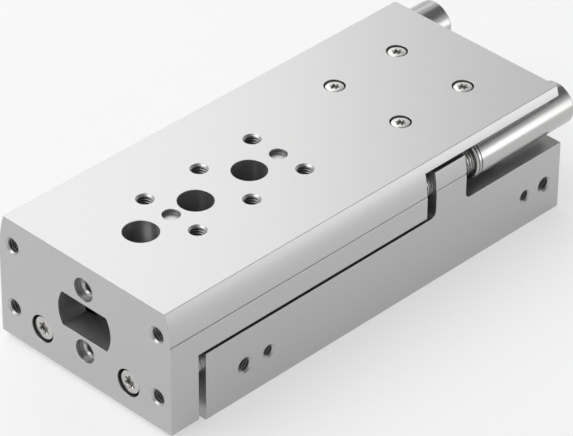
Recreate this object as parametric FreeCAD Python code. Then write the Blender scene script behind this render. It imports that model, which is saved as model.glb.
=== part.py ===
import FreeCAD, Part
import math
import os

# Pneumatic slide table: a table that two pistons push out along a ball guide.
# Millimetres. +X is the direction in which the table advances, +Y the side with
# the air ports, +Z up. The origin is the centre of the housing's mounting face.

# Overall sizes
body_width = 65.3
top_width = 61.3
slide_length = 150.0
yoke_thickness = 10.0
housing_length = 138.0
front_gap = 2.6
underside_gap = 1.8
stroke = 80.0

# Height, stacked up from the mounting face: wall, bores, rail, carriage, table
base_wall = 2.4
rail_seat_above_bore = 6.2
table_thickness = 7.4

# Side outline, the same on the slide and on the housing's shock absorber block
crease_drop = 10.0
crease_depth = 0.3
crease_half_height = 0.17
side_bulge = 0.35
base_edge_chamfer = 0.4

# Housing
ledge_below_shock = 1.7
block_length = 11.95
block_roof_gap = 1.15
block_inner_wall = 1.7
block_foot = 1.0
block_front_fillet = 2.0
block_rear_fillet = 1.75
stop_block_length = 9.7

# Slide
skirt_gap = 1.0
skirt_length = 96.2
plate_edge_thickness = 3.0
slide_channel_gap = 1.6
stop_channel_wall = 2.0
stop_channel_gap = 0.5
outer_wall = 2.65
stop_channel_roof_gap = 1.1

# Ball guide
rail_width = 15.0
rail_height = 10.0
rail_end_gap = 1.0
rail_side_gap = 0.05
rail_top_chamfer = 0.6
rail_screw_pitch = 40.0
rail_screw_count = 4
rail_counterbore_depth = 4.5
carriage_width = 32.0
carriage_height = 12.0
carriage_length = 50.0
carriage_lift = 4.0
carriage_gap = 0.35
carriage_roof_gap = 0.4
carriage_chamfer = 0.5
end_cap_length = 6.0
end_cap_inset = 0.3
seal_thickness = 1.0
seal_inset = 0.6
seal_lip_gap = 0.12
ball_diameter = 3.0
ball_groove_gap = 0.1
ball_flat_share = 0.85
ball_height_on_rail = 6.0
ball_pitch = 4.4
balls_per_row = 7
return_hole_offset = 12.2
return_hole_height = 4.4
housing_channel_gap = 1.0
housing_channel_depth = 0.8

# Cylinders, rods and pistons
bore_diameter = 16.0
bore_side_inset = 16.15
rod_diameter = 8.0
rod_seat_depth = 1.0
rod_seat_gap = 0.1
piston_length = 24.0
piston_gap = 0.12
piston_rest_gap = 4.7
spigot_diameter = 5.0
spigot_end = 0.6
piston_nut_length = 2.7
piston_nut_width = 8.0
piston_seal_width = 2.6
piston_seal_depth = 1.9
piston_seal_land = 2.2
magnet_width = 5.0
magnet_depth = 3.0
circlip_width = 1.0
circlip_land = 0.6
circlip_depth = 0.45
circlip_radial = 1.5
circlip_opening = 3.0
cartridge_length = 9.8
cartridge_gap = 0.03
running_gap = 0.05
rod_seal_width = 2.4
rod_seal_depth = 2.0
rod_seal_inset = 1.4
wiper_width = 2.0
wiper_depth = 1.5
cap_thickness = 3.0
o_ring_groove_width = 1.4
o_ring_groove_depth = 1.1
ring_gap = 0.05

# Shock absorbers and stops
shock_edge_inset = 6.45
shock_roof_gap = 0.5
shock_side_gap = 2.1
shock_length = 59.25
shock_thread_diameter = 10.0
shock_thread_length = 19.75
shock_body_diameter = 13.0
shock_proud = 3.2
shock_chamfer = 0.4
shock_ring_inset = 0.45
shock_ring_pitch = 1.1
shock_ring_width = 0.3
shock_ring_depth = 0.25
shock_rear_round = 0.6
shock_key_width = 4.0
shock_key_depth = 2.5
shock_pin_diameter = 3.0
shock_pin_length = 30.0
shock_pin_stroke = 8.0
shock_pin_round = 0.5
stop_clearance = 0.3
stop_button_diameter = 6.0
stop_button_length = 7.0
stop_button_proud = 0.5
stop_button_hole_relief = 0.5
retract_pin_diameter = 6.0
retract_pin_edge_inset = 4.65
retract_pin_depth = 8.0
retract_pin_round = 0.6

# Holes in the top of the slide, measured back from its front face
access_hole_diameter = 10.0
access_hole_start = 20.85
access_hole_pitch = 20.0
access_hole_count = 3
table_thread_start = 31.85
table_thread_pitch = 20.0
table_thread_rows = 3
table_thread_spacing = 20.0
table_centering_diameter = 5.0
table_centering_depth = 1.3
table_centering_pitch = 40.0
carriage_screw_start = 106.45
carriage_screw_pitch = 25.0
carriage_screw_depth = 4.0
counterbore_gap = 0.3
table_head_sink = 0.25

# Holes in the front of the slide
front_thread_side_inset = 5.15
front_thread_rise = 20.0
front_thread_height = 11.8
front_centering_diameter = 7.0
front_centering_depth = 1.6
window_diameter = 20.0
window_gap = 0.4
window_relief_depth = 1.4
window_relief_margin = 1.2
rod_head_sink = 0.5
rod_screw_depth = 12.0

# Thread sizes, at their nominal diameters
m3_diameter = 3.0
m4_diameter = 4.0
m5_diameter = 5.0
thread_gap = 0.04
m3_head_diameter = 5.5
m3_head_height = 2.6
m3_star = 2.75
m4_head_diameter = 7.0
m4_head_height = 3.2
m4_star = 3.9
recess_depth = 1.3
star_valley = 0.72
m3_hex = 2.5
screw_hole_gap = 0.2
rail_screw_depth = 4.0
rail_screw_head_height = 3.0

# Air ports and the other threads of the housing
port_depth = 6.0
passage_diameter = 3.0
front_port_inset = 14.2
rear_port_inset = 6.3
front_side_thread_inset = 23.0
rear_side_thread_inset = 14.3
side_thread_depth = 6.0
base_thread_spacing_x = 60.0
base_thread_side_inset = 4.65
base_thread_depth = 7.0
base_centering_diameter = 7.0
base_centering_depth = 1.6
base_centering_pitch = 80.0
sensor_slot_heights = (9.9, 16.9)
sensor_slot_opening = 2.8
sensor_slot_diameter = 4.2
sensor_slot_depth = 2.6

# Places that follow from the sizes above
half_width = body_width / 2
bore_radius = bore_diameter / 2
bore_height = base_wall + bore_radius
rail_seat_height = bore_height + rail_seat_above_bore
rail_top = rail_seat_height + rail_height
carriage_bottom = rail_seat_height + carriage_lift
carriage_top = carriage_bottom + carriage_height
overall_height = carriage_top + table_thickness
plate_edge_bottom = overall_height - plate_edge_thickness
shock_height = plate_edge_bottom - shock_roof_gap - shock_body_diameter / 2
ledge_height = shock_height - shock_body_diameter / 2 - ledge_below_shock
crease_height = overall_height - crease_drop
block_height = plate_edge_bottom - block_roof_gap
housing_front = housing_length / 2
housing_rear = -housing_length / 2
yoke_back = housing_front + front_gap
slide_front = yoke_back + yoke_thickness
slide_rear = slide_front - slide_length
skirt_bottom = ledge_height + skirt_gap
skirt_end = slide_front - skirt_length
front_port_x = housing_front - front_port_inset
rear_port_x = housing_rear + rear_port_inset

carriage_center = slide_front - carriage_screw_start - carriage_screw_pitch / 2
slide_channel_half = carriage_width / 2 + slide_channel_gap
housing_channel_half = carriage_width / 2 + housing_channel_gap
housing_channel_floor = carriage_bottom - housing_channel_depth
steel_half_length = carriage_length / 2 - end_cap_length - seal_thickness
ball_y = rail_width / 2 + carriage_gap / 2
ball_z = rail_seat_height + ball_height_on_rail
groove_radius = ball_diameter / 2 + ball_groove_gap
rail_screw_start = slide_front - access_hole_start

rod_radius = rod_diameter / 2
front_circlip_face = housing_front - circlip_land
cartridge_front = front_circlip_face - circlip_width
cartridge_rear = cartridge_front - cartridge_length
cap_outer = housing_rear + circlip_land + circlip_width
cap_inner = cap_outer + cap_thickness
piston_rear = cap_inner + piston_rest_gap
piston_front = piston_rear + piston_length
spigot_rear = piston_rear - piston_nut_length - spigot_end
rod_front = yoke_back + rod_seat_depth
bore_sides = {"right": half_width - bore_side_inset, "left": bore_side_inset - half_width}

shock_offset = half_width - shock_edge_inset
shock_cut_inner = shock_offset - shock_body_diameter / 2 - shock_side_gap
block_inner_offset = shock_offset - shock_thread_diameter / 2 - block_inner_wall
retract_pin_offset = half_width - retract_pin_edge_inset
front_thread_offset = half_width - front_thread_side_inset
base_thread_offset = half_width - base_thread_side_inset
right_shock_front = skirt_end - stop_clearance
right_block_front = right_shock_front - shock_proud
right_block_rear = right_block_front - block_length
advance_stop_face = housing_front - stop_block_length - stop_button_proud
left_shock_front = advance_stop_face - stop_clearance - stroke
left_block_front = left_shock_front - shock_proud
left_block_rear = left_block_front - block_length
stop_channel_inner = slide_channel_half + stop_channel_wall
stop_channel_outer = half_width - outer_wall
stop_block_inner = stop_channel_inner + stop_channel_gap
stop_block_outer = stop_channel_outer - stop_channel_gap
stop_channel_roof = block_height + stop_channel_roof_gap

overshoot = 5.0


def box(x0, x1, y0, y1, z0, z1):
    corner = FreeCAD.Vector(min(x0, x1), min(y0, y1), min(z0, z1))
    return Part.makeBox(abs(x1 - x0), abs(y1 - y0), abs(z1 - z0), corner)


def round_x(x0, x1, y, z, radius):
    start = FreeCAD.Vector(min(x0, x1), y, z)
    return Part.makeCylinder(radius, abs(x1 - x0), start, FreeCAD.Vector(1, 0, 0))


def round_y(x, y0, y1, z, radius):
    start = FreeCAD.Vector(x, min(y0, y1), z)
    return Part.makeCylinder(radius, abs(y1 - y0), start, FreeCAD.Vector(0, 1, 0))


def round_z(x, y, z0, z1, radius):
    start = FreeCAD.Vector(x, y, min(z0, z1))
    return Part.makeCylinder(radius, abs(z1 - z0), start, FreeCAD.Vector(0, 0, 1))


def turned_x(outline, y, z):
    """Turn a closed outline of (station, radius) points about a line along X."""
    points = [FreeCAD.Vector(x, radius, 0) for x, radius in outline]
    face = Part.Face(Part.makePolygon(points + points[:1]))
    solid = face.revolve(FreeCAD.Vector(0, 0, 0), FreeCAD.Vector(1, 0, 0), 360)
    solid.translate(FreeCAD.Vector(0, y, z))
    return solid


def section_x(points, x0, x1):
    """Extrude a closed outline of (y, z) points along X."""
    corners = [FreeCAD.Vector(x0, y, z) for y, z in points]
    face = Part.Face(Part.makePolygon(corners + corners[:1]))
    return face.extrude(FreeCAD.Vector(x1 - x0, 0, 0))


def envelope(x0, x1):
    """Outside shape of the whole table: flat sides, a crease line and bulged flanks."""
    crease_low = crease_height - crease_half_height
    crease_high = crease_height + crease_half_height
    flank_foot = half_width - crease_depth / 2
    rise = overall_height - crease_high
    lean = flank_foot - top_width / 2
    chord = math.hypot(rise, lean)
    mid_y = (flank_foot + top_width / 2) / 2 + side_bulge * rise / chord
    mid_z = (crease_high + overall_height) / 2 + side_bulge * lean / chord

    def flank(side):
        foot = FreeCAD.Vector(x0, side * flank_foot, crease_high)
        middle = FreeCAD.Vector(x0, side * mid_y, mid_z)
        top = FreeCAD.Vector(x0, side * top_width / 2, overall_height)
        return [
            Part.makeLine(FreeCAD.Vector(x0, side * half_width, base_edge_chamfer),
                          FreeCAD.Vector(x0, side * half_width, crease_low)),
            Part.makeLine(FreeCAD.Vector(x0, side * half_width, crease_low),
                          FreeCAD.Vector(x0, side * (half_width - crease_depth), crease_height)),
            Part.makeLine(FreeCAD.Vector(x0, side * (half_width - crease_depth), crease_height), foot),
            Part.Arc(foot, middle, top).toShape(),
        ]

    base_half = half_width - base_edge_chamfer
    base = [
        Part.makeLine(FreeCAD.Vector(x0, half_width, base_edge_chamfer), FreeCAD.Vector(x0, base_half, 0)),
        Part.makeLine(FreeCAD.Vector(x0, base_half, 0), FreeCAD.Vector(x0, -base_half, 0)),
        Part.makeLine(FreeCAD.Vector(x0, -base_half, 0),
                      FreeCAD.Vector(x0, -half_width, base_edge_chamfer)),
    ]
    top = [Part.makeLine(FreeCAD.Vector(x0, -top_width / 2, overall_height),
                         FreeCAD.Vector(x0, top_width / 2, overall_height))]
    edges = Part.sortEdges(base + flank(1) + flank(-1) + top)[0]
    return Part.Face(Part.Wire(edges)).extrude(FreeCAD.Vector(x1 - x0, 0, 0))


def prism(corners, depth):
    """Prism below z = 0 on a closed outline of (x, y) points, open above."""
    points = [FreeCAD.Vector(x, y, -depth) for x, y in corners]
    face = Part.Face(Part.makePolygon(points + points[:1]))
    return face.extrude(FreeCAD.Vector(0, 0, depth + overshoot))


def polar(radius, degrees):
    angle = math.radians(degrees)
    return (radius * math.cos(angle), radius * math.sin(angle))


def star_recess(across):
    """Six-pointed driver recess with straight flanks."""
    corners = []
    for index in range(6):
        corners.append(polar(across / 2, 60 * index))
        corners.append(polar(across / 2 * star_valley, 60 * index + 30))
    return prism(corners, recess_depth)


def hexagon(across_flats, u, v):
    radius = across_flats / 2 / math.cos(math.radians(30))
    corners = [polar(radius, 60 * index) for index in range(6)]
    return [(u + du, v + dv) for du, dv in corners]


def hex_recess(across_flats):
    return prism(hexagon(across_flats, 0, 0), recess_depth)


def cap_screw(thread, head, head_height, length, recess):
    """Cap screw pointing down, with the top of its head at z = 0."""
    screw = round_z(0, 0, -head_height, 0, head / 2)
    screw = screw.fuse(round_z(0, 0, -head_height - length, -head_height, thread / 2))
    return screw.removeSplitter().cut(recess)


def table_threads():
    first = slide_front - table_thread_start
    rows = [first - index * table_thread_pitch for index in range(table_thread_rows)]
    return [(x, side * table_thread_spacing / 2) for x in rows for side in (1, -1)]


def table_centerings():
    first = slide_front - table_thread_start
    return [(first, 0), (first - table_centering_pitch, 0)]


def access_holes():
    first = slide_front - access_hole_start
    return [first - index * access_hole_pitch for index in range(access_hole_count)]


def carriage_screw_places():
    half = carriage_screw_pitch / 2
    return [(carriage_center + i * half, j * half) for i in (1, -1) for j in (1, -1)]


def rail_screw_places():
    return [rail_screw_start - index * rail_screw_pitch for index in range(rail_screw_count)]


def front_rows():
    return (front_thread_height, front_thread_height + front_thread_rise)


def slide():
    """Table and front yoke, milled from one aluminium bar."""
    body = envelope(slide_rear, slide_front)
    body = body.cut(box(slide_rear - overshoot, slide_front + overshoot, -body_width, body_width,
                        -overshoot, underside_gap))
    rear = slide_rear - overshoot
    hollows = [
        box(rear, yoke_back, -body_width, body_width, -overshoot, skirt_bottom),
        box(rear, yoke_back, -slide_channel_half, slide_channel_half, -overshoot, carriage_top),
        box(rear, skirt_end, shock_cut_inner, body_width, -overshoot, plate_edge_bottom),
        box(rear, left_block_rear, -body_width, -shock_cut_inner, -overshoot, plate_edge_bottom),
        box(left_block_front, yoke_back, -stop_channel_outer, -stop_channel_inner,
            -overshoot, stop_channel_roof),
        round_x(left_block_rear - overshoot, left_block_front + overshoot,
                -shock_offset, shock_height, shock_thread_diameter / 2 + thread_gap),
        round_x(skirt_end - overshoot, skirt_end + stop_button_length + stop_button_hole_relief,
                shock_offset, shock_height, stop_button_diameter / 2 + cartridge_gap),
    ]
    hollows += top_holes() + front_holes()
    return body.cut(hollows)


def top_holes():
    top = overall_height + overshoot
    through = carriage_top - overshoot
    cuts = [round_z(x, 0, through, top, access_hole_diameter / 2) for x in access_holes()]
    cuts += [round_z(x, y, through, top, m5_diameter / 2) for x, y in table_threads()]
    for x, y in table_centerings():
        cuts.append(round_z(x, y, overall_height - table_centering_depth, top,
                            table_centering_diameter / 2))
    head_bottom = overall_height - table_head_sink - m3_head_height
    for x, y in carriage_screw_places():
        cuts.append(round_z(x, y, head_bottom, top, m3_head_diameter / 2 + counterbore_gap))
        cuts.append(round_z(x, y, through, top, m3_diameter / 2 + screw_hole_gap))
    return cuts


def front_holes():
    front = slide_front + overshoot
    cuts = []
    for z in front_rows():
        for side in (1, -1):
            cuts.append(round_x(yoke_back, front, side * front_thread_offset, z, m5_diameter / 2))
        cuts.append(round_x(slide_front - front_centering_depth, front, 0, z, front_centering_diameter / 2))
        cuts.append(round_x(yoke_back, front, 0, z, m4_diameter / 2))
    low = rail_seat_height - window_gap
    high = rail_top + window_gap
    disc = round_x(yoke_back - overshoot, front, 0, (low + high) / 2, window_diameter / 2)
    cuts.append(disc.common(box(yoke_back - overshoot, front, -window_diameter, window_diameter, low, high)))
    half = window_diameter / 2 + window_relief_margin
    cuts.append(box(yoke_back - overshoot, yoke_back + window_relief_depth, -half, half,
                    low - window_relief_margin, high + window_relief_margin))
    head_bottom = slide_front - rod_head_sink - m4_head_height
    for y in bore_sides.values():
        cuts.append(round_x(head_bottom, front, y, bore_height, m4_head_diameter / 2 + counterbore_gap * 2))
        cuts.append(round_x(yoke_back - overshoot, front, y, bore_height, m4_diameter / 2 + screw_hole_gap))
        cuts.append(round_x(yoke_back - overshoot, rod_front, y, bore_height, rod_radius + rod_seat_gap))
    return cuts


def shock_block():
    """Block on the housing's right ledge that holds a shock absorber, with filleted feet."""
    front = right_block_front
    rear = right_block_rear
    y0 = block_inner_offset
    foot = ledge_height - block_foot
    foot_front = front + block_front_fillet
    foot_rear = rear - block_rear_fillet

    def point(x, z):
        return FreeCAD.Vector(x, y0, z)

    def corner(x, direction, radius):
        lean = radius * (1 - math.sqrt(0.5))
        return Part.Arc(point(x + direction * radius, ledge_height),
                        point(x + direction * lean, ledge_height + lean),
                        point(x, ledge_height + radius)).toShape()

    front_foot = corner(front, 1, block_front_fillet)
    rear_foot = corner(rear, -1, block_rear_fillet)
    edges = [
        front_foot,
        Part.makeLine(point(front, ledge_height + block_front_fillet), point(front, block_height)),
        Part.makeLine(point(front, block_height), point(rear, block_height)),
        Part.makeLine(point(rear, block_height), point(rear, ledge_height + block_rear_fillet)),
        rear_foot,
        Part.makeLine(point(foot_rear, ledge_height), point(foot_rear, foot)),
        Part.makeLine(point(foot_rear, foot), point(foot_front, foot)),
        Part.makeLine(point(foot_front, foot), point(foot_front, ledge_height)),
    ]
    face = Part.Face(Part.Wire(Part.sortEdges(edges)[0]))
    block = face.extrude(FreeCAD.Vector(0, body_width, 0))
    return block.common(envelope(rear - overshoot, front + overshoot))


def stop_block():
    """Block at the front of the left ledge that carries the advance stop."""
    return box(housing_front - stop_block_length, housing_front, -stop_block_inner, -stop_block_outer,
               ledge_height - block_foot, block_height)


def sensor_slots():
    """Two C-shaped slots along the left side, for position sensors."""
    rear = housing_rear - overshoot
    front = housing_front + overshoot
    mouth = sensor_slot_opening / 2
    center = -half_width + sensor_slot_depth
    cuts = []
    for z in sensor_slot_heights:
        cuts.append(box(rear, front, -half_width - overshoot, center, z - mouth, z + mouth))
        cuts.append(round_x(rear, front, center, z, sensor_slot_diameter / 2))
    return cuts


def port_holes():
    cuts = []
    for x in (front_port_x, rear_port_x):
        cuts.append(round_y(x, half_width - port_depth, half_width + overshoot, bore_height,
                            m5_diameter / 2))
        cuts.append(round_y(x, bore_sides["left"], half_width, bore_height, passage_diameter / 2))
    side_threads = (housing_front - front_side_thread_inset, housing_rear + rear_side_thread_inset)
    for x in side_threads:
        cuts.append(round_y(x, half_width - side_thread_depth, half_width + overshoot, bore_height,
                            m4_diameter / 2))
    return cuts


def base_holes():
    cuts = []
    for i in (1, -1):
        for j in (1, -1):
            cuts.append(round_z(i * base_thread_spacing_x / 2, j * base_thread_offset,
                                -overshoot, base_thread_depth, m5_diameter / 2))
        cuts.append(round_z(i * base_centering_pitch / 2, 0, -overshoot, base_centering_depth,
                            base_centering_diameter / 2))
    return cuts


def housing():
    """Fixed body with the cylinder bores, the guide channel and both stop blocks."""
    body = envelope(housing_rear, housing_front)
    body = body.cut(box(housing_rear - overshoot, housing_front + overshoot, -body_width, body_width,
                        ledge_height, overall_height + overshoot))
    body = body.fuse([shock_block(), stop_block()]).removeSplitter()
    rear = housing_rear - overshoot
    front = housing_front + overshoot
    seat_half = rail_width / 2 + rail_side_gap
    cuts = [
        box(rear, front, -housing_channel_half, housing_channel_half,
            housing_channel_floor, overall_height),
        box(rear, front, -seat_half, seat_half, rail_seat_height, overall_height),
        round_x(right_block_rear - overshoot, right_block_front + overshoot, shock_offset, shock_height,
                shock_thread_diameter / 2 + thread_gap),
        round_x(advance_stop_face - overshoot, advance_stop_face + stop_button_length,
                -shock_offset, shock_height, stop_button_diameter / 2 + cartridge_gap),
        round_x(housing_front - retract_pin_depth, front, retract_pin_offset, rail_seat_height,
                retract_pin_diameter / 2 + cartridge_gap),
    ]
    for y in bore_sides.values():
        cuts.append(round_x(rear, front, y, bore_height, bore_radius))
        for start, end in ((cartridge_front, front_circlip_face), (cap_outer - circlip_width, cap_outer)):
            cuts.append(round_x(start, end, y, bore_height, bore_radius + circlip_depth))
    for x in rail_screw_places():
        cuts.append(round_z(x, 0, rail_seat_height - rail_screw_depth - thread_gap, overall_height,
                            m3_diameter / 2 + thread_gap))
    cuts += port_holes() + base_holes() + sensor_slots()
    return body.cut(cuts)


def guide_rail():
    """Hardened profile rail with a ball groove on each side and counterbored holes."""
    half = rail_width / 2
    shoulder = rail_top - rail_top_chamfer
    outline = [
        (-half, rail_seat_height), (half, rail_seat_height), (half, shoulder),
        (half - rail_top_chamfer, rail_top), (-half + rail_top_chamfer, rail_top), (-half, shoulder),
    ]
    start = housing_rear + rail_end_gap
    end = housing_front - rail_end_gap
    rail = section_x(outline, start, end)
    cuts = []
    for side in (1, -1):
        cuts.append(round_x(start - overshoot, end + overshoot, side * ball_y, ball_z, groove_radius))
    for x in rail_screw_places():
        cuts.append(round_z(x, 0, rail_seat_height - overshoot, rail_top + overshoot,
                            m3_diameter / 2 + screw_hole_gap))
        cuts.append(round_z(x, 0, rail_top - rail_counterbore_depth, rail_top + overshoot,
                            m3_head_diameter / 2 + counterbore_gap))
    return rail.cut(cuts)


def rail_screws():
    head_top = rail_top - rail_counterbore_depth + rail_screw_head_height
    length = rail_height - rail_counterbore_depth + rail_screw_depth
    screws = []
    for x in rail_screw_places():
        screw = cap_screw(m3_diameter, m3_head_diameter, rail_screw_head_height, length, hex_recess(m3_hex))
        screw.translate(FreeCAD.Vector(x, 0, head_top))
        screws.append(screw)
    return Part.makeCompound(screws)


def saddle(x0, x1, inset, gap):
    """Slice of the carriage: a block that straddles the rail."""
    half = carriage_width / 2 - inset
    bottom = carriage_bottom + inset
    top = carriage_top - inset
    edge = carriage_chamfer
    inner = rail_width / 2 + gap
    roof = rail_top + carriage_roof_gap
    outline = [
        (-half, bottom), (-inner, bottom), (-inner, roof), (inner, roof), (inner, bottom), (half, bottom),
        (half, top - edge), (half - edge, top), (-half + edge, top), (-half, top - edge),
    ]
    return section_x(outline, x0, x1)


def guide_carriage():
    """Steel runner block with ball grooves, return holes and four threads on top."""
    start = carriage_center - steel_half_length
    end = carriage_center + steel_half_length
    body = saddle(start, end, 0, carriage_gap)
    cuts = []
    for side in (1, -1):
        cuts.append(round_x(start - overshoot, end + overshoot, side * ball_y, ball_z, groove_radius))
        cuts.append(round_x(start - overshoot, end + overshoot, side * return_hole_offset,
                            carriage_bottom + return_hole_height, groove_radius))
    for x, y in carriage_screw_places():
        cuts.append(round_z(x, y, carriage_top - carriage_screw_depth - thread_gap, carriage_top + overshoot,
                            m3_diameter / 2 + thread_gap))
    return body.cut(cuts)


def carriage_end_cap(direction):
    """Plastic cap that turns the balls round at one end of the runner block."""
    start = carriage_center + direction * steel_half_length
    return saddle(start, start + direction * end_cap_length, end_cap_inset, carriage_gap)


def carriage_seal(direction):
    """Thin end seal that wipes the rail."""
    start = carriage_center + direction * (steel_half_length + end_cap_length)
    return saddle(start, start + direction * seal_thickness, seal_inset, seal_lip_gap)


def ball():
    """One guide ball, simplified to eighteen flats."""
    half = ball_diameter / 2 * ball_flat_share
    cube = box(-half, half, -half, half, -half, half)
    solid = cube
    for axis in ((1, 0, 0), (0, 1, 0), (0, 0, 1)):
        turned = cube.copy()
        turned.rotate(FreeCAD.Vector(0, 0, 0), FreeCAD.Vector(*axis), 45)
        solid = solid.common(turned)
    return solid


def guide_balls():
    balls = []
    first = carriage_center - ball_pitch * (balls_per_row - 1) / 2
    for side in (1, -1):
        for index in range(balls_per_row):
            solid = ball()
            solid.translate(FreeCAD.Vector(first + index * ball_pitch, side * ball_y, ball_z))
            balls.append(solid)
    return Part.makeCompound(balls)


def carriage_screws():
    head_top = overall_height - table_head_sink
    length = head_top - m3_head_height - carriage_top + carriage_screw_depth
    screws = []
    for x, y in carriage_screw_places():
        screw = cap_screw(m3_diameter, m3_head_diameter, m3_head_height, length, star_recess(m3_star))
        screw.translate(FreeCAD.Vector(x, y, head_top))
        screws.append(screw)
    return Part.makeCompound(screws)


def rod_screws():
    head_top = slide_front - rod_head_sink
    length = head_top - m4_head_height - rod_front + rod_screw_depth
    screws = []
    for y in bore_sides.values():
        screw = cap_screw(m4_diameter, m4_head_diameter, m4_head_height, length, star_recess(m4_star))
        screw.rotate(FreeCAD.Vector(0, 0, 0), FreeCAD.Vector(0, 1, 0), 90)
        screw.translate(FreeCAD.Vector(head_top, y, bore_height))
        screws.append(screw)
    return Part.makeCompound(screws)


def piston_rod(side):
    """Rod with a threaded front end and a thin spigot through the piston."""
    y = bore_sides[side]
    rod = round_x(piston_front, rod_front, y, bore_height, rod_radius)
    rod = rod.fuse(round_x(spigot_rear, piston_front, y, bore_height, spigot_diameter / 2))
    thread = round_x(rod_front - rod_screw_depth - thread_gap, rod_front + overshoot, y, bore_height,
                     m4_diameter / 2 + thread_gap)
    return rod.removeSplitter().cut(thread)


def piston(side):
    """Aluminium piston with two seal grooves and a magnet groove between them."""
    outer = bore_radius - piston_gap
    seal_floor = outer - piston_seal_depth
    magnet_floor = outer - magnet_depth
    hub = spigot_diameter / 2 + cartridge_gap
    rear_seal = piston_rear + piston_seal_land
    front_seal = piston_front - piston_seal_land - piston_seal_width
    magnet = (piston_rear + piston_front - magnet_width) / 2
    outline = [(piston_rear, hub), (piston_rear, outer)]
    grooves = (
        (rear_seal, piston_seal_width, seal_floor),
        (magnet, magnet_width, magnet_floor),
        (front_seal, piston_seal_width, seal_floor),
    )
    for start, width, floor in grooves:
        outline += [(start, outer), (start, floor), (start + width, floor), (start + width, outer)]
    outline += [(piston_front, outer), (piston_front, hub)]
    return turned_x(outline, bore_sides[side], bore_height)


def ring_x(start, width, inner, outer, y):
    outline = [(start, inner), (start, outer), (start + width, outer), (start + width, inner)]
    return turned_x(outline, y, bore_height)


def piston_seals():
    inner = bore_radius - piston_gap - piston_seal_depth + ring_gap
    outer = bore_radius - ring_gap
    rear_seal = piston_rear + piston_seal_land
    front_seal = piston_front - piston_seal_land - piston_seal_width
    rings = []
    for y in bore_sides.values():
        for start in (rear_seal, front_seal):
            rings.append(ring_x(start + ring_gap, piston_seal_width - 2 * ring_gap, inner, outer, y))
    return Part.makeCompound(rings)


def piston_magnets():
    inner = bore_radius - piston_gap - magnet_depth + ring_gap
    outer = bore_radius - piston_gap - ring_gap
    start = (piston_rear + piston_front - magnet_width) / 2 + ring_gap
    width = magnet_width - 2 * ring_gap
    return Part.makeCompound([ring_x(start, width, inner, outer, y) for y in bore_sides.values()])


def piston_nuts():
    nuts = []
    for y in bore_sides.values():
        corners = hexagon(piston_nut_width, y, bore_height)
        nut = section_x(corners, piston_rear - piston_nut_length, piston_rear)
        hole = round_x(spigot_rear - overshoot, piston_rear + overshoot, y, bore_height,
                       spigot_diameter / 2 + cartridge_gap)
        nuts.append(nut.cut(hole))
    return Part.makeCompound(nuts)


def bearing_cartridge(side):
    """Front cover of a bore, with the rod bearing and grooves for seal, wiper and O-ring."""
    outer = bore_radius - cartridge_gap
    inner = rod_radius + running_gap
    seal_floor = inner + rod_seal_depth
    wiper_floor = inner + wiper_depth
    seal_start = cartridge_rear + rod_seal_inset
    groove_start = (cartridge_rear + cartridge_front - o_ring_groove_width) / 2
    groove_floor = outer - o_ring_groove_depth
    groove_end = groove_start + o_ring_groove_width
    seal_end = seal_start + rod_seal_width
    wiper_start = cartridge_front - wiper_width
    outline = [
        (cartridge_rear, inner), (cartridge_rear, outer),
        (groove_start, outer), (groove_start, groove_floor),
        (groove_end, groove_floor), (groove_end, outer),
        (cartridge_front, outer), (cartridge_front, wiper_floor),
        (wiper_start, wiper_floor), (wiper_start, inner),
        (seal_end, inner), (seal_end, seal_floor), (seal_start, seal_floor), (seal_start, inner),
    ]
    return turned_x(outline, bore_sides[side], bore_height)


def rod_seals():
    start = cartridge_rear + rod_seal_inset + ring_gap
    inner = rod_radius + running_gap / 2
    outer = rod_radius + running_gap + rod_seal_depth - ring_gap
    width = rod_seal_width - 2 * ring_gap
    return Part.makeCompound([ring_x(start, width, inner, outer, y) for y in bore_sides.values()])


def rod_wipers():
    start = cartridge_front - wiper_width + ring_gap
    inner = rod_radius + running_gap / 2
    outer = rod_radius + running_gap + wiper_depth - ring_gap
    width = wiper_width - ring_gap
    return Part.makeCompound([ring_x(start, width, inner, outer, y) for y in bore_sides.values()])


def o_rings(middle):
    inner = bore_radius - cartridge_gap - o_ring_groove_depth + ring_gap
    outer = bore_radius - ring_gap
    width = o_ring_groove_width - 2 * ring_gap
    rings = [ring_x(middle - width / 2, width, inner, outer, y) for y in bore_sides.values()]
    return Part.makeCompound(rings)


def circlips(start):
    """Snap rings in the bore grooves, each with an opening."""
    outer = bore_radius + circlip_depth - ring_gap
    inner = bore_radius - circlip_radial
    rings = []
    for y in bore_sides.values():
        ring = ring_x(start, circlip_width, inner, outer, y)
        opening = box(start - overshoot, start + circlip_width + overshoot, y - circlip_opening / 2,
                      y + circlip_opening / 2, bore_height - bore_diameter, bore_height)
        rings.append(ring.cut(opening))
    return Part.makeCompound(rings)


def rear_cap(side):
    """Turned cover of a bore at the rear, with an O-ring groove."""
    outer = bore_radius - cartridge_gap
    middle = (cap_outer + cap_inner) / 2
    groove_start = middle - o_ring_groove_width / 2
    groove_end = middle + o_ring_groove_width / 2
    floor = outer - o_ring_groove_depth
    outline = [
        (cap_outer, 0), (cap_outer, outer), (groove_start, outer), (groove_start, floor),
        (groove_end, floor), (groove_end, outer), (cap_inner, outer), (cap_inner, 0),
    ]
    return turned_x(outline, bore_sides[side], bore_height)


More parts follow.
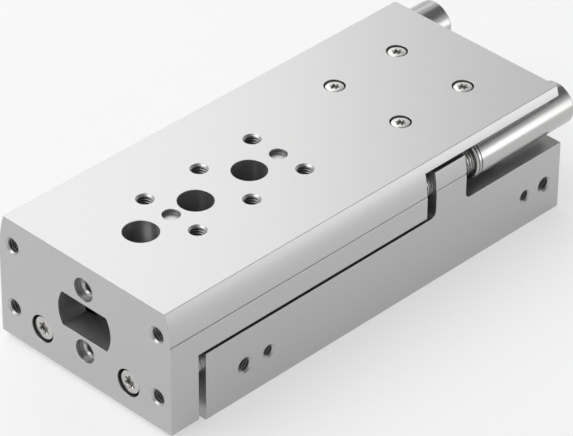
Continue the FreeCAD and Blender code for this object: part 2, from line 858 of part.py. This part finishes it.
def shock_absorber(front, y):
    """Steel shock absorber: threaded neck, two turned rings and a smooth body."""
    neck = shock_thread_diameter / 2
    body = shock_body_diameter / 2
    low = body - shock_ring_depth
    bore = shock_pin_diameter / 2 + running_gap
    shoulder = front - shock_thread_length
    rear = front - shock_length
    outline = [(front, bore), (front, neck - shock_chamfer), (front - shock_chamfer, neck),
               (shoulder, neck), (shoulder, body - shock_chamfer), (shoulder - shock_chamfer, body)]
    for index in range(2):
        station = shoulder - shock_ring_inset - index * shock_ring_pitch
        outline += [(station, body), (station, low), (station - shock_ring_width, low),
                    (station - shock_ring_width, body)]
    pin_end = front - shock_pin_length - shock_pin_stroke
    outline += [(rear + shock_rear_round, body), (rear, body - shock_rear_round), (rear, 0),
                (pin_end, 0), (pin_end, bore)]
    solid = turned_x(outline, y, shock_height)
    key = section_x(hexagon(shock_key_width, y, shock_height), rear - overshoot, rear + shock_key_depth)
    return solid.cut(key)


def shock_pin(tip, y):
    radius = shock_pin_diameter / 2
    outline = [(tip - shock_pin_length, 0), (tip - shock_pin_length, radius),
               (tip - shock_pin_round, radius), (tip, radius - shock_pin_round), (tip, 0)]
    return turned_x(outline, y, shock_height)


def advance_stop_button():
    """Hardened button in the left stop block that the left shock absorber meets."""
    return round_x(advance_stop_face, advance_stop_face + stop_button_length, -shock_offset, shock_height,
                   stop_button_diameter / 2)


def return_stop_button():
    """Hardened button in the end of the right skirt that the right shock absorber meets."""
    return round_x(skirt_end, skirt_end + stop_button_length, shock_offset, shock_height,
                   stop_button_diameter / 2)


def retract_stop_pin():
    """Steel pin in the housing's front face that the yoke comes to rest beside."""
    radius = retract_pin_diameter / 2
    tip = yoke_back - stop_clearance
    outline = [(housing_front - retract_pin_depth, 0), (housing_front - retract_pin_depth, radius),
               (tip - retract_pin_round, radius), (tip, radius - retract_pin_round), (tip, 0)]
    return turned_x(outline, retract_pin_offset, rail_seat_height)


pieces = {
    "housing": housing(),
    "guide_rail": guide_rail(),
    "rail_screws": rail_screws(),
    "bearing_cartridge_left": bearing_cartridge("left"),
    "bearing_cartridge_right": bearing_cartridge("right"),
    "rod_seals": rod_seals(),
    "rod_wipers": rod_wipers(),
    "cartridge_o_rings": o_rings((cartridge_rear + cartridge_front) / 2),
    "front_circlips": circlips(cartridge_front),
    "rear_cap_left": rear_cap("left"),
    "rear_cap_right": rear_cap("right"),
    "cap_o_rings": o_rings((cap_outer + cap_inner) / 2),
    "rear_circlips": circlips(cap_outer - circlip_width),
    "shock_absorber_right": shock_absorber(right_shock_front, shock_offset),
    "advance_stop_button": advance_stop_button(),
    "retract_stop_pin": retract_stop_pin(),
    "slide": slide(),
    "carriage_screws": carriage_screws(),
    "rod_screws": rod_screws(),
    "guide_carriage": guide_carriage(),
    "carriage_end_cap_front": carriage_end_cap(1),
    "carriage_end_cap_rear": carriage_end_cap(-1),
    "carriage_seal_front": carriage_seal(1),
    "carriage_seal_rear": carriage_seal(-1),
    "guide_balls": guide_balls(),
    "piston_rod_left": piston_rod("left"),
    "piston_rod_right": piston_rod("right"),
    "piston_left": piston("left"),
    "piston_right": piston("right"),
    "piston_seals": piston_seals(),
    "piston_magnets": piston_magnets(),
    "piston_nuts": piston_nuts(),
    "shock_absorber_left": shock_absorber(left_shock_front, -shock_offset),
    "return_stop_button": return_stop_button(),
    "shock_pin_right": shock_pin(right_shock_front, shock_offset),
    "shock_pin_left": shock_pin(left_shock_front + shock_pin_stroke, -shock_offset),
}

os.makedirs("parts", exist_ok=True)
for name, shape in pieces.items():
    shape.exportStep("parts/" + name + ".step")
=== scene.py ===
import math

import bmesh
import bpy
from mathutils import Matrix, Vector


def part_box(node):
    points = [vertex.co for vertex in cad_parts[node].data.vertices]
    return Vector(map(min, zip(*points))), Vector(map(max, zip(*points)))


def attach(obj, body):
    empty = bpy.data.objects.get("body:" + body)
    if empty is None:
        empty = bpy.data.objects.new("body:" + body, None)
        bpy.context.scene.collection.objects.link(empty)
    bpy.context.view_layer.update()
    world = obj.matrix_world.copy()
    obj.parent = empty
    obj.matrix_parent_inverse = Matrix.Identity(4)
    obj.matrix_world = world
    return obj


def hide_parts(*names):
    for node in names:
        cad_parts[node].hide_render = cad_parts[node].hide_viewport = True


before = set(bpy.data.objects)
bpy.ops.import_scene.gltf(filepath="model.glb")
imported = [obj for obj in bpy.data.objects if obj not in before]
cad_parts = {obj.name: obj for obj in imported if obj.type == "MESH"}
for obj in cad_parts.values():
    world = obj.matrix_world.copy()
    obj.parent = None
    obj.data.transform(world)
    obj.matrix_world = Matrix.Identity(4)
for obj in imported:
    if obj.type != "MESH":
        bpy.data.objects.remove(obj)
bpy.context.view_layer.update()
mm = 0.001

# Table slide
# One aluminium bar milled into the table, its two skirts and the front yoke.
# It is blasted fine, clear anodised, and its edges are broken by hand.
edge_break = 0.15 * mm
smooth_angle = math.radians(32)
flat_angle = math.radians(0.5)
merge_reach = 0.002 * mm
# How far from a hollow the painted shade reaches into the metal's colour.
painted_shade_reach = 2 * mm
anodised_share = 0.86
grain_dark = 0.965
grain_light = 1.02


def finished_copy(node, name, body, material):
    """Copy of a solid with merged corners, smooth curves, broken edges and its finish."""
    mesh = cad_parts[node].data.copy()
    mesh.name = name
    bm = bmesh.new()
    bm.from_mesh(mesh)
    bmesh.ops.remove_doubles(bm, verts=bm.verts, dist=merge_reach)
    bmesh.ops.dissolve_limit(bm, angle_limit=flat_angle, verts=bm.verts, edges=bm.edges)
    bm.to_mesh(mesh)
    bm.free()
    mesh.attributes.remove(mesh.attributes["custom_normal"])
    mesh.materials.clear()
    mesh.materials.append(material)
    mesh.shade_smooth()
    mesh.set_sharp_from_angle(angle=smooth_angle)
    piece = bpy.data.objects.new(name, mesh)
    bpy.context.scene.collection.objects.link(piece)
    bevel = piece.modifiers.new("broken edges", "BEVEL")
    bevel.width = edge_break
    bevel.segments = 2
    bevel.use_clamp_overlap = False
    bevel.loop_slide = False
    bevel.limit_method = "ANGLE"
    bevel.angle_limit = smooth_angle
    bevel.harden_normals = True
    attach(piece, body)
    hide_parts(node)


def metal(name, colour, roughness, spread, grain, bump, metallic=1, reach=painted_shade_reach,
          alone=True):
    """Metal with a grain stretched as its three sizes say, and painted shade in hollows within its
    reach.

    The painted shade darkens hollows between two pieces too where it isn't taken alone.
    """
    material = bpy.data.materials.new(name)
    material.use_nodes = True
    nodes = material.node_tree.nodes
    links = material.node_tree.links
    shader = nodes["Principled BSDF"]
    shader.inputs["Metallic"].default_value = metallic
    place = nodes.new("ShaderNodeTexCoord")
    stretch = nodes.new("ShaderNodeMapping")
    stretch.inputs["Scale"].default_value = [1 / size for size in grain]
    links.new(place.outputs["Object"], stretch.inputs["Vector"])
    noise = nodes.new("ShaderNodeTexNoise")
    noise.inputs["Scale"].default_value = 1
    noise.inputs["Detail"].default_value = 5
    noise.inputs["Roughness"].default_value = 0.6
    links.new(stretch.outputs["Vector"], noise.inputs["Vector"])
    gloss = nodes.new("ShaderNodeMapRange")
    gloss.inputs["From Min"].default_value = 0.3
    gloss.inputs["From Max"].default_value = 0.7
    gloss.inputs["To Min"].default_value = roughness - spread
    gloss.inputs["To Max"].default_value = roughness + spread
    links.new(noise.outputs["Fac"], gloss.inputs["Value"])
    links.new(gloss.outputs["Result"], shader.inputs["Roughness"])
    tone = nodes.new("ShaderNodeValToRGB")
    tone.color_ramp.elements[0].position = 0.25
    tone.color_ramp.elements[0].color = [c * grain_dark for c in colour] + [1]
    tone.color_ramp.elements[1].position = 0.75
    tone.color_ramp.elements[1].color = [min(1, c * grain_light) for c in colour] + [1]
    links.new(noise.outputs["Fac"], tone.inputs["Fac"])
    # Painted shade: ambient occlusion darkens the base colour in hollows, standing in for the
    # shade there.
    painted_shade = nodes.new("ShaderNodeAmbientOcclusion")
    painted_shade.samples = 6
    painted_shade.only_local = alone
    painted_shade.inputs["Distance"].default_value = reach
    links.new(tone.outputs["Color"], painted_shade.inputs["Color"])
    links.new(painted_shade.outputs["Color"], shader.inputs["Base Color"])
    height = nodes.new("ShaderNodeBump")
    height.inputs["Distance"].default_value = bump
    links.new(noise.outputs["Fac"], height.inputs["Height"])
    links.new(height.outputs["Normal"], shader.inputs["Normal"])
    return material


# Its painted shade also darkens the colour where other pieces come within reach.
table_finish = metal("anodised table", (0.535, 0.535, 0.533), 0.36, 0.03,
                     (9 * mm, 0.16 * mm, 0.16 * mm), 0.0004 * mm, anodised_share, alone=False)
finished_copy("slide", "table_slide", "slide_body", table_finish)

# Threads in the table and the yoke
# Tapped M5 holes, and the M4 holes behind the two centring seats of the yoke.
# Each is a helical ridge cut by the tap, from the hole's wall to the core diameter.
m5_radius = 2.5 * mm
m5_pitch = 0.8 * mm
m4_radius = 2.0 * mm
m4_pitch = 0.7 * mm
thread_depth_share = 0.54
thread_steps = 28
root_share = 1.01
ridge_foot = 0.84
ridge_crest = 0.48
ridge_shoulder = 0.36


def to_piece(bm, name, body, material):
    """Closed mesh piece that rides on a body, with smooth curves and sharp edges."""
    bmesh.ops.recalc_face_normals(bm, faces=bm.faces)
    mesh = bpy.data.meshes.new(name)
    bm.to_mesh(mesh)
    bm.free()
    mesh.shade_smooth()
    mesh.set_sharp_from_angle(angle=smooth_angle)
    mesh.materials.append(material)
    piece = bpy.data.objects.new(name, mesh)
    bpy.context.scene.collection.objects.link(piece)
    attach(piece, body)
    return piece


def closed_line(bm, points):
    """Corners at these radii and heights, and the edges that join them into a closed line."""
    corners = [bmesh.ops.create_vert(bm, co=(radius, 0, height))["vert"][0]
               for radius, height in points]
    count = len(corners)
    return corners, [bm.edges.new((corners[i], corners[(i + 1) % count])) for i in range(count)]


def thread_ridge(threads, mouth, inward, root, crest, pitch, depth):
    """Helical ridge that winds inward from the mouth, from its root radius to its crest.

    A tapped one, whose crest is its smaller radius, starts with the ring that the tap's lead
    leaves.
    """
    bm = bmesh.new()
    profile, edges = closed_line(bm, (
        (root, 0),
        (root, ridge_foot * pitch),
        (crest, ridge_crest * pitch),
        (crest, ridge_shoulder * pitch),
    ))
    turns = (depth - pitch) / pitch
    steps = round(turns * thread_steps)
    wound = bmesh.ops.spin(bm, geom=profile + edges, cent=(0, 0, 0), axis=(0, 0, 1),
                           dvec=(0, 0, (depth - pitch) / steps), angle=math.tau * turns,
                           steps=steps)
    last = [item for item in wound["geom_last"] if isinstance(item, bmesh.types.BMEdge)]
    bmesh.ops.contextual_create(bm, geom=edges)
    bmesh.ops.contextual_create(bm, geom=last)
    if crest < root:
        rise = root - crest
        profile, edges = closed_line(bm, ((root, 0), (crest, rise), (root, 2 * rise)))
        bmesh.ops.spin(bm, geom=profile + edges, cent=(0, 0, 0), axis=(0, 0, 1), angle=math.tau,
                       steps=2 * thread_steps, use_merge=True)
    add_along(threads, bm, mouth, inward)


def add_along(group, bm, place, direction):
    """Adds a shape to its group, at its place and with its own +Z along the direction."""
    turn = Vector((0, 0, 1)).rotation_difference(Vector(direction)).to_matrix().to_4x4()
    bmesh.ops.transform(bm, matrix=Matrix.Translation(place) @ turn, verts=bm.verts)
    part = bpy.data.meshes.new("part")
    bm.to_mesh(part)
    bm.free()
    group.from_mesh(part)
    bpy.data.meshes.remove(part)


def tapped(threads, mouth, inward, radius, pitch, depth):
    """Thread tapped into a hole's wall, with its root just inside the wall."""
    crest = radius - pitch * thread_depth_share
    thread_ridge(threads, mouth, inward, radius * root_share, crest, pitch, depth)


slide_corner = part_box("slide")[1]
top = slide_corner.z
front = slide_corner.x
table_thickness = 7.4 * mm
yoke_thickness = 10 * mm
mouth_inset = 0.1 * mm
first_row = 31.85 * mm
row_pitch = 20 * mm
row_spacing = 20 * mm
yoke_low_row = 11.8 * mm
yoke_thread_spacing = 55 * mm
yoke_centering_depth = 1.6 * mm

threads = bmesh.new()
for row in range(3):
    for side in (-1, 1):
        mouth = (front - first_row - row * row_pitch, side * row_spacing / 2, top - mouth_inset)
        tapped(threads, mouth, (0, 0, -1), m5_radius, m5_pitch, table_thickness - mouth_inset)
for row in range(2):
    height = yoke_low_row + row * row_pitch
    for side in (-1, 1):
        mouth = (front - mouth_inset, side * yoke_thread_spacing / 2, height)
        tapped(threads, mouth, (-1, 0, 0), m5_radius, m5_pitch, yoke_thickness - mouth_inset)
    mouth = (front - yoke_centering_depth - mouth_inset, 0, height)
    tapped(threads, mouth, (-1, 0, 0), m4_radius, m4_pitch,
           yoke_thickness - yoke_centering_depth - mouth_inset)
thread_finish = metal("tapped thread", (0.52, 0.52, 0.515), 0.36, 0.05,
                      (1 * mm, 1 * mm, 1 * mm), 0.0005 * mm)
to_piece(threads, "slide_threads", "slide_body", thread_finish)

# Housing
# The fixed body, milled from a second bar: bores, guide channel, ledges, both stop blocks.
# It has the slide's finish, a little darker and finer.
housing_finish = metal("anodised housing", (0.515, 0.515, 0.513), 0.34, 0.03,
                       (7 * mm, 0.14 * mm, 0.14 * mm), 0.0004 * mm, anodised_share)
finished_copy("housing", "milled_housing", "housing_body", housing_finish)

# Threads in the housing
# M5 air ports with an M4 fixing thread beside each, and four M5 threads in the mounting face.
# They are tapped as those of the table are.
port_height = 10.4 * mm
port_places = (54.8 * mm, -62.7 * mm)
side_thread_places = (46.0 * mm, -54.7 * mm)
side_thread_depth = 6 * mm
base_thread_x = 30 * mm
base_thread_y = 28 * mm
base_thread_depth = 7 * mm
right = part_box("housing")[1].y

threads = bmesh.new()
for station in port_places:
    tapped(threads, (station, right - mouth_inset, port_height), (0, -1, 0), m5_radius, m5_pitch,
           side_thread_depth - mouth_inset)
for station in side_thread_places:
    tapped(threads, (station, right - mouth_inset, port_height), (0, -1, 0), m4_radius, m4_pitch,
           side_thread_depth - mouth_inset)
for i in (-1, 1):
    for j in (-1, 1):
        tapped(threads, (i * base_thread_x, j * base_thread_y, mouth_inset), (0, 0, 1),
               m5_radius, m5_pitch, base_thread_depth - mouth_inset)
to_piece(threads, "housing_threads", "housing_body", thread_finish)

# Star-recess screws
# Four M3 screws hold the ball carriage under the table, two M4 screws hold the piston rods.
# Turned steel heads with a rounded rim and a pressed six-lobe recess.
ring_segments = 72
head_rim = 0.4 * mm
rim_step = 0.12 * mm
recess_lip = 0.2 * mm
recess_flare = 0.16 * mm
underside_break = 0.1 * mm
lobe_middle = 0.84
lobe_swing = 0.2
floor_middle = 0.92
floor_swing = 0.9
flare_swing = 0.8
# Its painted shade in the recess and round the rim reaches only half a millimetre.
screw_finish = metal("bright steel screw", (0.56, 0.555, 0.54), 0.26, 0.05,
                     (0.6 * mm, 0.6 * mm, 0.6 * mm), 0.002 * mm, reach=0.5 * mm)


def rings(bm, outline):
    """Open tube of rings: each (height, radius, lobes) ring is drawn out of the one before."""
    height, radius, lobes = outline[0]
    loop = bmesh.ops.create_circle(bm, cap_ends=False, radius=1, segments=ring_segments)["verts"]
    shape_ring(loop, height, radius, lobes)
    edges = list({edge for vert in loop for edge in vert.link_edges})
    bmesh.ops.contextual_create(bm, geom=edges)
    for height, radius, lobes in outline[1:]:
        drawn = bmesh.ops.extrude_edge_only(bm, edges=edges)["geom"]
        edges = [item for item in drawn if isinstance(item, bmesh.types.BMEdge)]
        loop = [item for item in drawn if isinstance(item, bmesh.types.BMVert)]
        edges = [edge for edge in edges if all(vert in loop for vert in edge.verts)]
        shape_ring(loop, height, radius, lobes)
    bmesh.ops.contextual_create(bm, geom=edges)


def shape_ring(loop, height, radius, lobes):
    """Sets a ring's height and radius; lobes is how far the six lobes swing about it."""
    for vert in loop:
        angle = math.atan2(vert.co.y, vert.co.x)
        reach = radius + lobes * math.cos(6 * angle)
        vert.co = (reach * math.cos(angle), reach * math.sin(angle), height)


def star_screw(screws, place, direction, head_radius, head_height, shank_radius, length,
               star, depth):
    """Screw whose head's top is at the place; star is about the reach of its recess's lobes."""
    middle = star * lobe_middle
    swing = star * lobe_swing
    bm = bmesh.new()
    rings(bm, [
        (-depth, middle * floor_middle, swing * floor_swing),
        (-recess_lip, middle, swing),
        (0, middle + recess_flare, swing * flare_swing),
        (0, head_radius - head_rim, 0),
        (-rim_step, head_radius - rim_step, 0),
        (-head_rim, head_radius, 0),
        (-head_height + underside_break, head_radius, 0),
        (-head_height, head_radius - underside_break, 0),
        (-head_height, shank_radius, 0),
        (-head_height - length, shank_radius, 0),
    ])
    add_along(screws, bm, place, direction)


carriage_screws = bmesh.new()
low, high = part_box("carriage_screws")
head_radius = 2.75 * mm
head_height = 2.6 * mm
shank_radius = 1.5 * mm
star = 1.375 * mm
recess_depth = 0.9 * mm
for x in (low.x + head_radius, high.x - head_radius):
    for y in (low.y + head_radius, high.y - head_radius):
        star_screw(carriage_screws, (x, y, high.z), (0, 0, 1), head_radius, head_height,
                   shank_radius, high.z - low.z - head_height, star, recess_depth)
piece = to_piece(carriage_screws, "star_screws_on_table", "slide_body", screw_finish)
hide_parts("carriage_screws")

rod_screws = bmesh.new()
low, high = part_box("rod_screws")
head_radius = 3.5 * mm
head_height = 3.2 * mm
shank_radius = 2 * mm
star = 1.95 * mm
recess_depth = 1.1 * mm
for y in (low.y + head_radius, high.y - head_radius):
    star_screw(rod_screws, (high.x, y, (low.z + high.z) / 2), (1, 0, 0), head_radius, head_height,
               shank_radius, high.x - low.x - head_height, star, recess_depth)
piece = to_piece(rod_screws, "star_screws_on_yoke", "slide_body", screw_finish)
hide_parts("rod_screws")

# Shock absorbers
# Chromed steel tubes with an M10 x 1 neck, screwed into a block of the housing and of the slide.
# The tube is ground, with two fine grooves behind its shoulder and a socket at its rear.
neck_pitch = 1.0 * mm
neck_radius = 5 * mm
neck_core = 4.42 * mm
neck_length = 19.75 * mm
neck_chamfer = 0.3 * mm
neck_root_share = 0.99
thread_start = 0.9 * mm
thread_runout = 0.4 * mm
undercut_width = 0.5 * mm
undercut_depth = 0.1 * mm
pin_bore_radius = 1.6 * mm
pin_bore_depth = 37.9 * mm
shoulder_chamfer = 0.4 * mm
shoulder_step = 0.1 * mm
chamfer_step = 0.06 * mm
groove_starts = (0.42 * mm, 1.5 * mm)
groove_width = 0.34 * mm
groove_depth = 0.25 * mm
corner = 0.04 * mm
rear_round = 0.7 * mm
rear_steps = 4
socket_radius = 2.3 * mm
socket_chamfer = 0.15 * mm
socket_depth = 2.5 * mm
socket_swing = 0.05 * mm
tube_finish = metal("ground chrome", (0.5, 0.498, 0.494), 0.24, 0.04,
                    (0.25 * mm, 3 * mm, 3 * mm), 0.0005 * mm)
neck_finish = metal("rolled steel thread", (0.6, 0.6, 0.59), 0.26, 0.05,
                    (0.6 * mm, 0.6 * mm, 0.6 * mm), 0.001 * mm)


def shock_absorber(node, name, body):
    """Turned tube with its neck ahead, and the helical ridge of the neck's thread."""
    low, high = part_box(node)
    radius = (high.y - low.y) / 2
    middle = ((low.y + high.y) / 2, (low.z + high.z) / 2)
    shoulder = -neck_length
    tail = low.x - high.x
    outline = [(-pin_bore_depth, pin_bore_radius), (0, pin_bore_radius),
               (0, neck_core - neck_chamfer), (-neck_chamfer, neck_core),
               (shoulder + undercut_width, neck_core),
               (shoulder + undercut_width, neck_core - undercut_depth),
               (shoulder, neck_core - undercut_depth),
               (shoulder, radius - shoulder_chamfer - shoulder_step),
               (shoulder - corner, radius - shoulder_chamfer - corner),
               (shoulder - shoulder_chamfer + chamfer_step, radius - corner),
               (shoulder - shoulder_chamfer, radius)]
    for start in groove_starts:
        station = shoulder - start
        outline += [(station, radius), (station - corner, radius - groove_depth),
                    (station - groove_width + corner, radius - groove_depth),
                    (station - groove_width, radius)]
    for step in range(rear_steps + 1):
        turn = math.radians(90 * step / rear_steps)
        outline.append((tail + rear_round * (1 - math.sin(turn)),
                        radius - rear_round * (1 - math.cos(turn))))
    bm = bmesh.new()
    rings(bm, [(height, reach, 0) for height, reach in outline]
          + [(tail, socket_radius + socket_chamfer, 0),
             (tail + socket_chamfer, socket_radius, socket_swing),
             (tail + socket_depth, socket_radius, socket_swing)])
    turned = bmesh.new()
    add_along(turned, bm, (high.x, *middle), (1, 0, 0))
    tube = to_piece(turned, name, body, tube_finish)
    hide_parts(node)
    ridge = bmesh.new()
    thread_ridge(ridge, (high.x - thread_start, *middle), (-1, 0, 0),
                 neck_core * neck_root_share, neck_radius, neck_pitch, neck_length - thread_runout)
    to_piece(ridge, name + "_thread", body, neck_finish)


shock_absorber("shock_absorber_right", "return_shock_absorber", "housing_body")
shock_absorber("shock_absorber_left", "advance_shock_absorber", "slide_body")

# Ball guide
# Hardened, ground profile rail with a carriage on balls, closed by moulded end caps and seals.
# The solids carry the shape; only their finishes are made here.
mould_dark = 0.85
mould_light = 1.15
rail_finish = metal("ground rail steel", (0.58, 0.58, 0.57), 0.22, 0.05,
                    (20 * mm, 0.1 * mm, 0.1 * mm), 0.0004 * mm)
ball_finish = metal("polished ball steel", (0.7, 0.7, 0.7), 0.08, 0.02,
                    (0.5 * mm, 0.5 * mm, 0.5 * mm), 0.0001 * mm)


def moulded(name, colour, roughness, grain, bump):
    """Plastic or rubber with the fine, even texture of its mould."""
    material = bpy.data.materials.new(name)
    material.use_nodes = True
    nodes = material.node_tree.nodes
    links = material.node_tree.links
    shader = nodes["Principled BSDF"]
    shader.inputs["Roughness"].default_value = roughness
    place = nodes.new("ShaderNodeTexCoord")
    noise = nodes.new("ShaderNodeTexNoise")
    noise.inputs["Scale"].default_value = 1 / grain
    noise.inputs["Detail"].default_value = 3
    links.new(place.outputs["Object"], noise.inputs["Vector"])
    tone = nodes.new("ShaderNodeValToRGB")
    tone.color_ramp.elements[0].color = [c * mould_dark for c in colour] + [1]
    tone.color_ramp.elements[1].color = [c * mould_light for c in colour] + [1]
    links.new(noise.outputs["Fac"], tone.inputs["Fac"])
    links.new(tone.outputs["Color"], shader.inputs["Base Color"])
    height = nodes.new("ShaderNodeBump")
    height.inputs["Distance"].default_value = bump
    links.new(noise.outputs["Fac"], height.inputs["Height"])
    links.new(height.outputs["Normal"], shader.inputs["Normal"])
    return material


def dress(names, material):
    """Gives shown solids their finish."""
    for name in names:
        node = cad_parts[name]
        node.data.materials.clear()
        node.data.materials.append(material)


cap_finish = moulded("end cap plastic", (0.035, 0.036, 0.04), 0.5, 0.25 * mm, 0.01 * mm)
rubber_finish = moulded("seal rubber", (0.02, 0.02, 0.02), 0.65, 0.2 * mm, 0.01 * mm)
dress(("guide_rail", "guide_carriage"), rail_finish)
dress(("guide_balls",), ball_finish)
dress(("rail_screws",), screw_finish)
dress(("carriage_end_cap_front", "carriage_end_cap_rear"), cap_finish)
dress(("carriage_seal_front", "carriage_seal_rear"), rubber_finish)

# Cylinders
# Two pistons on chromed rods run in the housing's bores, each with seals and a ring magnet.
# Bronze cartridges carry the rods at the front; turned caps close the bores at the rear.
rod_finish = metal("chromed rod", (0.76, 0.76, 0.75), 0.12, 0.02,
                   (0.3 * mm, 4 * mm, 4 * mm), 0.0002 * mm)
bronze_finish = metal("bearing bronze", (0.62, 0.45, 0.22), 0.3, 0.05,
                      (0.3 * mm, 3 * mm, 3 * mm), 0.001 * mm)
spring_finish = metal("phosphated spring steel", (0.12, 0.12, 0.12), 0.4, 0.08,
                      (0.4 * mm, 0.4 * mm, 0.4 * mm), 0.003 * mm)
magnet_finish = moulded("sintered magnet", (0.05, 0.05, 0.055), 0.45, 0.15 * mm, 0.01 * mm)
dress(("piston_rod_left", "piston_rod_right"), rod_finish)
dress(("piston_left", "piston_right", "rear_cap_left", "rear_cap_right"), housing_finish)
dress(("piston_nuts",), screw_finish)
dress(("piston_magnets",), magnet_finish)
dress(("bearing_cartridge_left", "bearing_cartridge_right"), bronze_finish)
dress(("front_circlips", "rear_circlips"), spring_finish)
dress(("piston_seals", "rod_seals", "rod_wipers", "cartridge_o_rings", "cap_o_rings"),
      rubber_finish)

# Stops
# Hardened, ground steel: the buttons that the shock absorbers meet, and their sprung pins.
# The short pin in the front gap is pressed into the housing.
stop_finish = metal("hardened stop steel", (0.68, 0.68, 0.67), 0.2, 0.04,
                    (0.4 * mm, 0.4 * mm, 0.4 * mm), 0.0005 * mm)
dress(("advance_stop_button", "return_stop_button", "shock_pin_left", "shock_pin_right"),
      stop_finish)
dress(("retract_stop_pin",), stop_finish)

# Floor
# A white studio floor that turns up into a low round backdrop.
# It isn't part of the object.
floor_radius = 2.4
floor_drop = 0.05 * mm
floor_steps = 96
cove_radius = 0.5
cove_steps = 8
backdrop_height = 1.6
white_share = 0.55
bm = bmesh.new()
reaches = [(0, -floor_drop)]
for step in range(cove_steps + 1):
    turn = math.radians(90 * step / cove_steps)
    reaches.append((floor_radius + cove_radius * math.sin(turn),
                    cove_radius * (1 - math.cos(turn)) - floor_drop))
reaches.append((floor_radius + cove_radius, backdrop_height))
outline = [bmesh.ops.create_vert(bm, co=(reach, 0, height))["vert"][0]
           for reach, height in reaches]
edges = [bm.edges.new(pair) for pair in zip(outline, outline[1:])]
bmesh.ops.spin(bm, geom=outline + edges, cent=(0, 0, 0), axis=(0, 0, 1), angle=math.tau,
               steps=floor_steps, use_merge=True)
bmesh.ops.remove_doubles(bm, verts=bm.verts, dist=0.01 * mm)
bmesh.ops.recalc_face_normals(bm, faces=bm.faces)
mesh = bpy.data.meshes.new("floor")
bm.to_mesh(mesh)
bm.free()
mesh.shade_smooth()
floor = bpy.data.objects.new("floor", mesh)
bpy.context.scene.collection.objects.link(floor)
floor_paint = bpy.data.materials.new("white floor")
floor_paint.use_nodes = True
nodes = floor_paint.node_tree.nodes
links = floor_paint.node_tree.links
paint = nodes["Principled BSDF"]
paint.inputs["Base Color"].default_value = (0.93, 0.93, 0.93, 1)
paint.inputs["Roughness"].default_value = 0.9
paint.inputs["Specular IOR Level"].default_value = 0.1
rays = nodes.new("ShaderNodeLightPath")
seen = nodes.new("ShaderNodeMath")
seen.operation = "MAXIMUM"
links.new(rays.outputs["Is Camera Ray"], seen.inputs[0])
links.new(rays.outputs["Is Glossy Ray"], seen.inputs[1])
seen_too = nodes.new("ShaderNodeMath")
seen_too.operation = "MAXIMUM"
links.new(seen.outputs["Value"], seen_too.inputs[0])
links.new(rays.outputs["Is Transmission Ray"], seen_too.inputs[1])
share = nodes.new("ShaderNodeMath")
share.operation = "MULTIPLY"
share.inputs[1].default_value = white_share
links.new(seen_too.outputs["Value"], share.inputs[0])
white = nodes.new("ShaderNodeEmission")
mixed = nodes.new("ShaderNodeMixShader")
links.new(share.outputs["Value"], mixed.inputs["Fac"])
links.new(paint.outputs["BSDF"], mixed.inputs[1])
links.new(white.outputs["Emission"], mixed.inputs[2])
links.new(mixed.outputs["Shader"], nodes["Material Output"].inputs["Surface"])
mesh.materials.append(floor_paint)

# Light
# A dim even surround and four soft boxes: two far behind that the table's top mirrors, one high
# up in front that lights the floor, and a low one on the right for the flank and the tubes.
mirrored_by_top = (-0.58, -0.57, 0.58)
mirrored_by_flank = (-0.61, 0.79, 0)


def soft_box(name, aim, direction, distance, width, height, radiance, spread):
    """Lamp that faces the place it is aimed at, as bright and as spread as its last values say."""
    light = bpy.data.lights.new(name, "AREA")
    light.shape = "RECTANGLE"
    light.size = width
    light.size_y = height
    light.energy = radiance * 4 * width * height
    light.spread = math.radians(spread)
    lamp = bpy.data.objects.new(name, light)
    bpy.context.scene.collection.objects.link(lamp)
    away = Vector(direction).normalized()
    lamp.location = Vector(aim) * mm + away * distance
    lamp.rotation_mode = "QUATERNION"
    lamp.rotation_quaternion = away.to_track_quat("Z", "Y")
    lamp.visible_camera = False


soft_box("back soft box", (300, 0, 40), mirrored_by_top, distance=0.9,
         width=0.5, height=0.5, radiance=1.06, spread=180)
soft_box("wide soft box", (0, 0, 40), mirrored_by_top, distance=1.8,
         width=1.4, height=1.4, radiance=0.4, spread=180)
soft_box("front soft box", (0, 0, 20), (0.5, -0.35, 1.0), distance=1.6,
         width=1.5, height=1.5, radiance=2.2, spread=180)
soft_box("low soft box", (-40, 30, 42), mirrored_by_flank, distance=0.18,
         width=0.28, height=0.082, radiance=0.2, spread=70)
world = bpy.data.worlds.new("studio")
bpy.context.scene.world = world
world.use_nodes = True
surround = world.node_tree.nodes["Background"]
surround.inputs["Color"].default_value = (1, 1, 1, 1)
surround.inputs["Strength"].default_value = 0.18

# Camera
# A long lens at the photograph's angle.
# Its roll is the small tilt of the picture.
camera_azimuth = math.radians(134.451)
camera_elevation = math.radians(35.342)
camera_roll = math.radians(0.4357)
camera_place = Vector((640.921, 622.427, 647.487)) * mm
camera_lens = 251.207
back = Vector((
    math.sin(camera_azimuth) * math.cos(camera_elevation),
    -math.cos(camera_azimuth) * math.cos(camera_elevation),
    math.sin(camera_elevation),
))
level = Vector((0, 0, 1)).cross(back).normalized()
upright = back.cross(level)
side_axis = math.cos(camera_roll) * level + math.sin(camera_roll) * upright
up_axis = math.cos(camera_roll) * upright - math.sin(camera_roll) * level
camera_data = bpy.data.cameras.new("camera")
camera_data.lens = camera_lens
camera_data.sensor_width = 36
camera_data.clip_start = 0.05
camera_data.clip_end = 50
camera = bpy.data.objects.new("camera", camera_data)
bpy.context.scene.collection.objects.link(camera)
turn = Matrix((side_axis, up_axis, back)).transposed().to_4x4()
camera.matrix_world = Matrix.Translation(camera_place) @ turn
bpy.context.scene.camera = camera

bpy.context.scene.view_settings.view_transform = "Standard"
